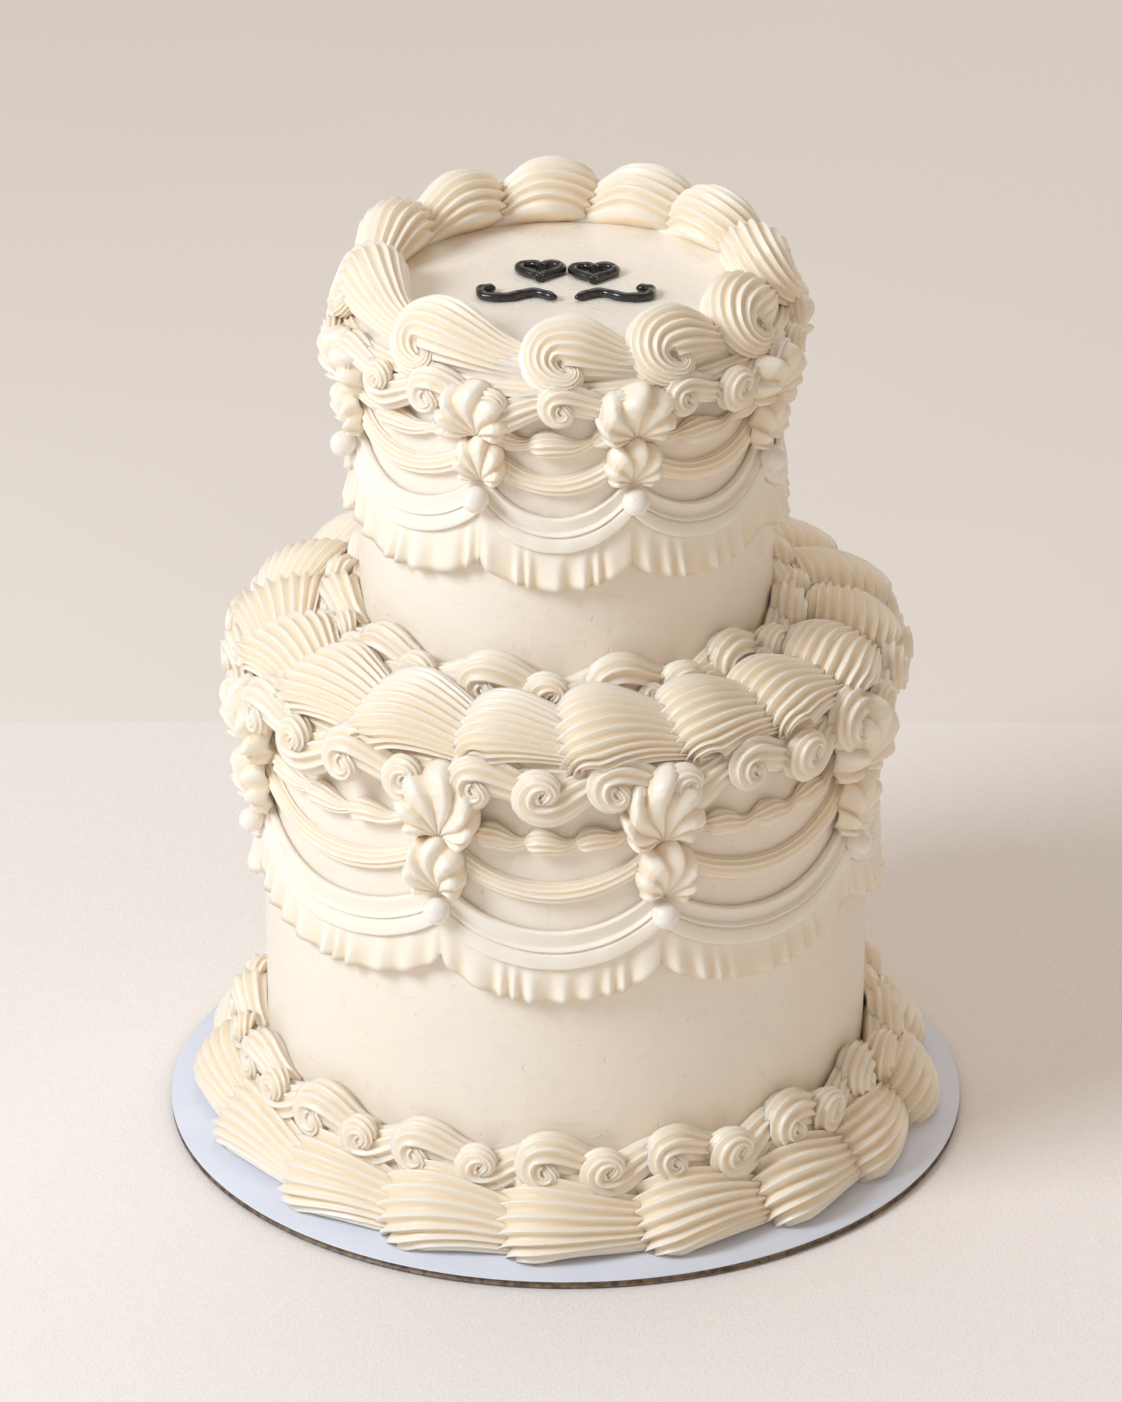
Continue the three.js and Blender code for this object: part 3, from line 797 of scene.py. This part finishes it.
def icing_material(name, colours, marks):
    """Buttercream: soft, a little see-through, with tiny pits; marks is how much a spatula shows."""
    g = Graph(name, "icing")
    light, deep, painted_groove_shade = colours
    colour = g.mix(g.spread(g.noise(28, 3), 0.3, 0.7), light, deep)
    # Painted shade: the higher the groove value, the more the colour goes towards a warm darker shade, in the
    # hollows of ribs, petals and frill folds.
    groove = g.node("ShaderNodeAttribute", attribute_name="groove").outputs["Fac"]
    colour = g.mix(g.spread(groove, 0.4, 1.0, 0.0, 0.65), colour, painted_groove_shade)
    # Painted highlight on piped icing where the groove value is near 0: on crests, and also on plain backs,
    # end caps and pieces without grooves.
    if not marks:
        colour = g.mix(g.spread(groove, 0.0, 0.25, PAINTED_HIGHLIGHT_SHARE, 0.0), colour, PAINTED_CREST_HIGHLIGHT)
    fine = g.noise(900, 3, 0.6)
    soft = g.noise(160, 2, 0.5)
    pits = g.spread(g.noise(420, 2, 0.5, 0.4), 0.70, 0.78)
    normal = g.bump(soft, 0.25, 0.0006)
    normal = g.bump(fine, 0.12, 0.0002, normal)
    normal = g.bump(pits, 0.25 + 0.35 * marks, -0.0003, normal)
    if marks:
        strokes = g.spread(g.noise(150, 5, 0.6, 1.2, (1, 1, 1.6)), 0.56, 0.66)
        normal = g.bump(strokes, 0.35 * marks, 0.0003, normal)
    g.shader.subsurface_method = "RANDOM_WALK"
    return g.finish(
        Base_Color=colour,
        Roughness=g.spread(soft, 0.3, 0.7, 0.30, 0.42),
        Subsurface_Weight=0.4,
        Subsurface_Radius=(1.0, 0.86, 0.7),
        Subsurface_Scale=0.0018,
        Specular_IOR_Level=0.5,
        Normal=normal,
    )


# The card's colours, light and deep, and the heights in metres between which its top paper begins.
PAPER = ((0.75, 0.775, 0.85, 1), (0.79, 0.81, 0.875, 1))
RAW_CARD = ((0.10, 0.065, 0.04, 1), (0.24, 0.17, 0.11, 1))
PAPER_FROM = (0.00172, 0.00180)


def card_material():
    g = Graph("coated_card", "card")
    parts = g.node("ShaderNodeSeparateXYZ", {"Vector": g.place})
    paper = g.mix(g.spread(g.noise(60, 3), 0.35, 0.65), *PAPER)
    brown = g.mix(g.spread(g.noise(500, 3), 0.4, 0.6), *RAW_CARD)
    above = g.spread(parts.outputs["Z"], *PAPER_FROM)
    fibres = g.noise(1500, 3, 0.6)
    return g.finish(
        Base_Color=g.mix(above, brown, paper),
        Roughness=g.spread(fibres, 0.3, 0.7, 0.42, 0.55),
        Normal=g.bump(fibres, 0.15, 0.0001),
    )


PEARL = ((0.92, 0.85, 0.76, 1), (0.96, 0.90, 0.82, 1))
DARK_GEL = ((0.006, 0.005, 0.005, 1), (0.014, 0.011, 0.009, 1))


def pearl_material():
    g = Graph("sugar_pearl", "pearl")
    haze = g.noise(420, 2)
    return g.finish(
        Base_Color=g.mix(g.spread(haze, 0.3, 0.7), *PEARL),
        Roughness=g.spread(haze, 0.3, 0.7, 0.2, 0.3),
        Subsurface_Weight=0.2,
        Subsurface_Radius=(1.0, 0.8, 0.6),
        Subsurface_Scale=0.002,
        Coat_Weight=0.6,
        Coat_Roughness=0.12,
        Sheen_Weight=0.3,
        Normal=g.bump(g.noise(900, 2), 0.05, 0.0001),
    )


def dark_material():
    g = Graph("dark_gel_icing", "dark_icing")
    flow = g.noise(500, 2)
    return g.finish(
        Base_Color=g.mix(g.spread(flow, 0.3, 0.7), *DARK_GEL),
        Roughness=g.spread(flow, 0.3, 0.7, 0.22, 0.34),
        Coat_Weight=0.5,
        Coat_Roughness=0.15,
        Normal=g.bump(flow, 0.2, 0.0003),
    )


CLOTH = ((0.90, 0.835, 0.775, 1), (0.95, 0.885, 0.825, 1))
PAINT = ((0.87, 0.80, 0.725, 1), (0.90, 0.83, 0.755, 1))
PAINT_FROM = 0.225  # metres behind the middle: the cloth ends here, and the rest of the floor is painted
FLOOR_REACH = 4.0
FLOOR_LEVEL = -0.0004


def floor_material():
    g = Graph("pale_floor", "floor")
    parts = g.node("ShaderNodeSeparateXYZ", {"Vector": g.place})
    weave = g.noise(1400, 2, 0.5)
    cloth = g.mix(g.spread(weave, 0.3, 0.7), *CLOTH)
    paint = g.mix(g.spread(g.noise(3, 2), 0.3, 0.7), *PAINT)
    behind = g.spread(parts.outputs["Y"], PAINT_FROM - 0.001, PAINT_FROM + 0.001)
    return g.finish(
        Base_Color=g.mix(behind, cloth, paint),
        Roughness=0.87,
        Normal=g.bump(weave, g.spread(behind, 0, 1, 0.5, 0.1), 0.0004),
    )


# ---- stage ----
def make_stage():
    corners = ((-1, -1), (1, -1), (1, 1), (-1, 1))
    points = [(x * FLOOR_REACH, y * FLOOR_REACH, FLOOR_LEVEL) for x, y in corners]
    mesh = bpy.data.meshes.new("floor")
    mesh.from_pydata(points, [], [(0, 1, 2, 3)])
    mesh.materials.append(floor_material())
    floor = bpy.data.objects.new("floor", mesh)
    bpy.context.scene.collection.objects.link(floor)


def make_light(name, place, target, size, power, colour):
    light = bpy.data.lights.new(name, "AREA")
    light.shape = "DISK"
    light.size, light.energy, light.color = size, power, colour
    lamp = bpy.data.objects.new(name, light)
    lamp.location = place
    direction = np.array(target) - np.array(place)
    lamp.rotation_euler = Vector(direction).to_track_quat("-Z", "Y").to_euler()
    bpy.context.scene.collection.objects.link(lamp)


MIDDLE = (0, 0, 0.11)
# Name, place, target, size, power and colour; all soft discs.
LIGHTS = [
    ("key", (-1.0, -0.6, 1.0), MIDDLE, 0.62, 16.5, (0.80, 0.89, 1.0)),
    ("fill", (1.3, -0.7, 0.6), MIDDLE, 0.9, 1.4, (1.0, 0.86, 0.70)),
    ("front", (-0.2, -1.9, 0.8), MIDDLE, 1.0, 1.5, (0.95, 0.95, 1.0)),
    ("back", (0.0, 0.8, 1.6), (0, 0.5, 0), 1.2, 6.0, (0.97, 0.95, 0.97)),
    ("rim", (1.0, 1.4, 0.7), MIDDLE, 0.9, 2.4, (1.0, 0.95, 0.88)),
]
WORLD_COLOUR = (1.0, 0.89, 0.79, 1)
WORLD_STRENGTH = 0.355


def make_lights():
    for light in LIGHTS:
        make_light(*light)
    world = bpy.data.worlds.new("studio")
    world.use_nodes = True
    background = world.node_tree.nodes["Background"]
    background.inputs["Color"].default_value = WORLD_COLOUR
    background.inputs["Strength"].default_value = WORLD_STRENGTH
    bpy.context.scene.world = world


# ---- camera, fitted to the photograph ----
CAMERA_PLACE = (-0.0012, -1.3321, 0.7244)
CAMERA_PITCH = 0.432
IMAGE_HEIGHT = 1402
FOCAL_PIXELS = 5851.9
SENSOR = 36.0


def make_camera():
    data = bpy.data.cameras.new("camera")
    data.sensor_fit = "AUTO"
    data.sensor_width = SENSOR
    data.lens = FOCAL_PIXELS / IMAGE_HEIGHT * SENSOR
    camera = bpy.data.objects.new("camera", data)
    camera.location = CAMERA_PLACE
    camera.rotation_euler = (math.pi / 2 - CAMERA_PITCH, 0, 0)
    bpy.context.scene.collection.objects.link(camera)
    bpy.context.scene.camera = camera


def make_cake():
    piped = icing_material("piped_buttercream", PIPED_ICING, 0.0)
    spread = icing_material("spread_buttercream", SPREAD_ICING, 1.0)
    pearl = pearl_material()
    make_board(card_material())
    make_foot_shells(piped)
    make_lower_edge(piped)
    make_upper_edge(piped)
    make_borders(piped)
    for tier in (LOWER, UPPER):
        make_tier(tier, spread)
        make_string(tier, piped)
        make_garland(tier, piped)
        make_ribbon(tier, piped)
        make_frill(tier, piped)
        make_drops(tier, piped, pearl)
    make_motif(dark_material())


make_cake()
make_stage()
make_lights()
make_camera()
bpy.context.scene.view_settings.view_transform = "Standard"
